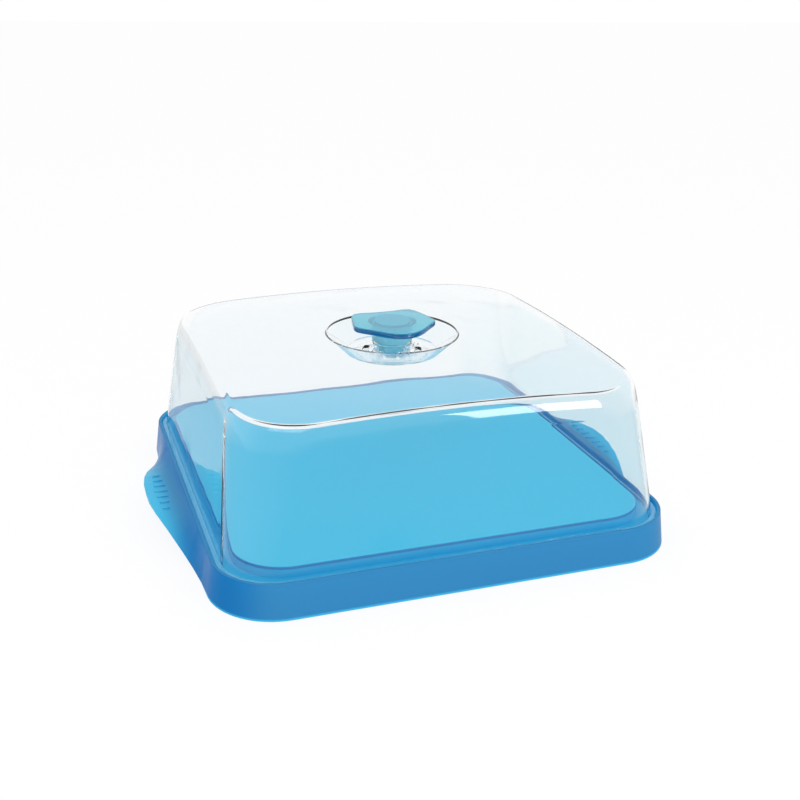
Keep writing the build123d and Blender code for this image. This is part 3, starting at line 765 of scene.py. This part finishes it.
class KEEPER_OT_stage(bpy.types.Operator):
    """Set the table, the light and the camera"""
    bl_idname = "keeper.stage"
    bl_label = "Set stage"

    def execute(self, context):
        look = context.scene.keeper_stage
        self.table(look)
        self.room(context.scene, look)
        self.lamp(context.scene, "overhead softbox", OVERHEAD_SIZE, look.softbox_power, OVERHEAD_PLACE)
        self.lamp(context.scene, "front strip", STRIP_SIZE, look.strip_power, STRIP_PLACE)
        self.camera(context.scene, look)
        context.scene.view_settings.view_transform = "Standard"
        # Light crosses many clear walls before it reaches the camera
        context.scene.cycles.max_bounces = 48
        context.scene.cycles.transmission_bounces = 48
        context.scene.cycles.glossy_bounces = 12
        context.scene.cycles.transparent_max_bounces = 24
        return {"FINISHED"}

    def table(self, look):
        """A plain white table top."""
        mesh = bpy.data.meshes.new("table")
        mesh.from_pydata([(-TABLE_REACH, -TABLE_REACH, 0), (TABLE_REACH, -TABLE_REACH, 0),
                          (TABLE_REACH, TABLE_REACH, 0), (-TABLE_REACH, TABLE_REACH, 0)], [], [(0, 1, 2, 3)])
        table = bpy.data.objects.new("table", mesh)
        bpy.context.scene.collection.objects.link(table)
        table.location.z = -TABLE_DROP
        laminate = bpy.data.materials.new("matt white laminate")
        laminate.use_nodes = True
        tree = laminate.node_tree
        tree.nodes.clear()
        white = add_node(tree, "ShaderNodeBsdfDiffuse", values={"Color": linear(look.floor_colour)})
        # As in the photograph the table is bleached white, and only a trace of the shadow stays
        bleached = add_node(tree, "ShaderNodeEmission", values={"Color": WHITE, "Strength": 1.0})
        mixed = self.seen_as(tree, white.outputs["BSDF"], bleached.outputs["Emission"], ("Is Camera Ray",),
                             look.bleach)
        mixed = self.seen_as(tree, mixed, bleached.outputs["Emission"], ("Is Transmission Ray",), look.bleach)
        # The backlight leaves it duller in front of and left of the keeper, where the upright walls mirror it
        place = add_node(tree, "ShaderNodeTexCoord")
        parts = add_node(tree, "ShaderNodeSeparateXYZ", links={"Vector": place.outputs["Object"]})
        front = add_node(tree, "ShaderNodeMapRange", settings=SMOOTH,
                         values={"From Min": TABLE_DULL_FRONT, "From Max": TABLE_WHITE_BACK,
                                 "To Min": look.front_light, "To Max": 1.0},
                         links={"Value": parts.outputs["Y"]})
        left = add_node(tree, "ShaderNodeMapRange", settings=SMOOTH,
                        values={"From Min": TABLE_DULL_LEFT, "From Max": TABLE_WHITE_RIGHT,
                                "To Min": look.left_light, "To Max": 1.0},
                        links={"Value": parts.outputs["X"]})
        dull = add_node(tree, "ShaderNodeMath", settings={"operation": "MINIMUM"},
                        links={0: front.outputs["Result"], 1: left.outputs["Result"]})
        mirrored = add_node(tree, "ShaderNodeEmission", values={"Color": WHITE},
                            links={"Strength": dull.outputs["Value"]})
        mixed = self.seen_as(tree, mixed, mirrored.outputs["Emission"],
                             ("Is Glossy Ray", "Is Transmission Ray"), look.bleach)
        add_node(tree, "ShaderNodeOutputMaterial", links={"Surface": mixed})
        mesh.materials.append(laminate)

    def seen_as(self, tree, plain, shown, kinds, share):
        """The plain shader, but the shown one for a share of one kind of ray that is not also another kind."""
        rays = add_node(tree, "ShaderNodeLightPath")
        found = rays.outputs[kinds[0]]
        if len(kinds) > 1:
            fewer = add_node(tree, "ShaderNodeMath", settings={"operation": "SUBTRACT"},
                             links={0: found, 1: rays.outputs[kinds[1]]})
            found = fewer.outputs["Value"]
        part = add_node(tree, "ShaderNodeMapRange", settings=SMOOTH, values={"To Max": share},
                        links={"Value": found})
        mixed = add_node(tree, "ShaderNodeMixShader", links={"Fac": part.outputs["Result"], 1: plain, 2: shown})
        return mixed.outputs["Shader"]

    def room(self, scene, look):
        """A white room: pure white where it is seen, duller where its front is mirrored, else plain light."""
        world = bpy.data.worlds.new("room")
        scene.world = world
        world.use_nodes = True
        tree = world.node_tree
        tree.nodes.clear()
        seen = add_node(tree, "ShaderNodeBackground", values={"Color": WHITE, "Strength": 1.0})
        light = add_node(tree, "ShaderNodeBackground", values={"Color": WHITE, "Strength": look.sky})
        mixed = self.seen_as(tree, light.outputs["Background"], seen.outputs["Background"], ("Is Camera Ray",),
                             1.0)
        mixed = self.seen_as(tree, mixed, seen.outputs["Background"], ("Is Transmission Ray",), 1.0)
        place = add_node(tree, "ShaderNodeTexCoord")
        parts = add_node(tree, "ShaderNodeSeparateXYZ", links={"Vector": place.outputs["Generated"]})
        front = add_node(tree, "ShaderNodeMapRange", settings=SMOOTH,
                         values={"From Min": ROOM_DULL_FRONT, "From Max": ROOM_WHITE_BACK,
                                 "To Min": look.front_light, "To Max": 1.0},
                         links={"Value": parts.outputs["Y"]})
        mirrored = add_node(tree, "ShaderNodeBackground", values={"Color": WHITE},
                            links={"Strength": front.outputs["Result"]})
        mixed = self.seen_as(tree, mixed, mirrored.outputs["Background"],
                             ("Is Glossy Ray", "Is Transmission Ray"), 1.0)
        add_node(tree, "ShaderNodeOutputWorld", links={"Surface": mixed})

    def lamp(self, scene, name, size, power, place):
        """A softbox that faces the keeper."""
        lamp = bpy.data.lights.new(name, "AREA")
        lamp.shape = "RECTANGLE"
        lamp.size, lamp.size_y = size
        lamp.energy = power
        holder = bpy.data.objects.new(name, lamp)
        scene.collection.objects.link(holder)
        holder.location = place
        holder.rotation_mode = "QUATERNION"
        holder.rotation_quaternion = (Vector(LAMP_AIM) - holder.location).to_track_quat("-Z", "Y")

    def camera(self, scene, look):
        """The photograph's viewpoint."""
        az, el = look.azimuth, look.elevation
        back = Vector((math.sin(az) * math.cos(el), -math.cos(az) * math.cos(el), math.sin(el)))
        right = Vector((math.cos(az), math.sin(az), 0))
        up = back.cross(right)
        turn = Matrix.Rotation(look.roll, 3, back)
        right, up = turn @ right, turn @ up
        data = bpy.data.cameras.new("camera")
        data.lens = look.lens
        data.sensor_width = 36.0
        camera = bpy.data.objects.new("camera", data)
        scene.collection.objects.link(camera)
        place = look.distance * back - look.aside * right + look.below * up
        camera.matrix_world = Matrix.Translation(place) @ Matrix((right, up, back)).transposed().to_4x4()
        scene.camera = camera


class KEEPER_PT_panel(bpy.types.Panel):
    """Lists the keeper's operators in the sidebar"""
    bl_idname = "KEEPER_PT_panel"
    bl_label = "Cheese keeper"
    bl_space_type = "VIEW_3D"
    bl_region_type = "UI"
    bl_category = "Keeper"

    def draw(self, context):
        for operator in OPERATORS:
            self.layout.operator(operator.bl_idname)


GROUPS = {"keeper_tray": KeeperTray, "keeper_lid": KeeperLid, "keeper_knob": KeeperKnob,
          "keeper_stage": KeeperStage}
OPERATORS = (KEEPER_OT_tray, KEEPER_OT_lid, KEEPER_OT_knob, KEEPER_OT_stage)


def register():
    """Registers the settings, the operators and the panel."""
    for name, group in GROUPS.items():
        bpy.utils.register_class(group)
        setattr(bpy.types.Scene, name, PointerProperty(type=group))
    for cls in (*OPERATORS, KEEPER_PT_panel):
        bpy.utils.register_class(cls)


def unregister():
    """Takes away what register added."""
    for cls in reversed((*OPERATORS, KEEPER_PT_panel)):
        bpy.utils.unregister_class(cls)
    for name, group in GROUPS.items():
        delattr(bpy.types.Scene, name)
        bpy.utils.unregister_class(group)


def main():
    """Dresses the keeper and sets the stage."""
    register()
    bpy.ops.keeper.tray()
    bpy.ops.keeper.lid()
    bpy.ops.keeper.knob()
    bpy.ops.keeper.stage()


if __name__ == "__main__":
    main()
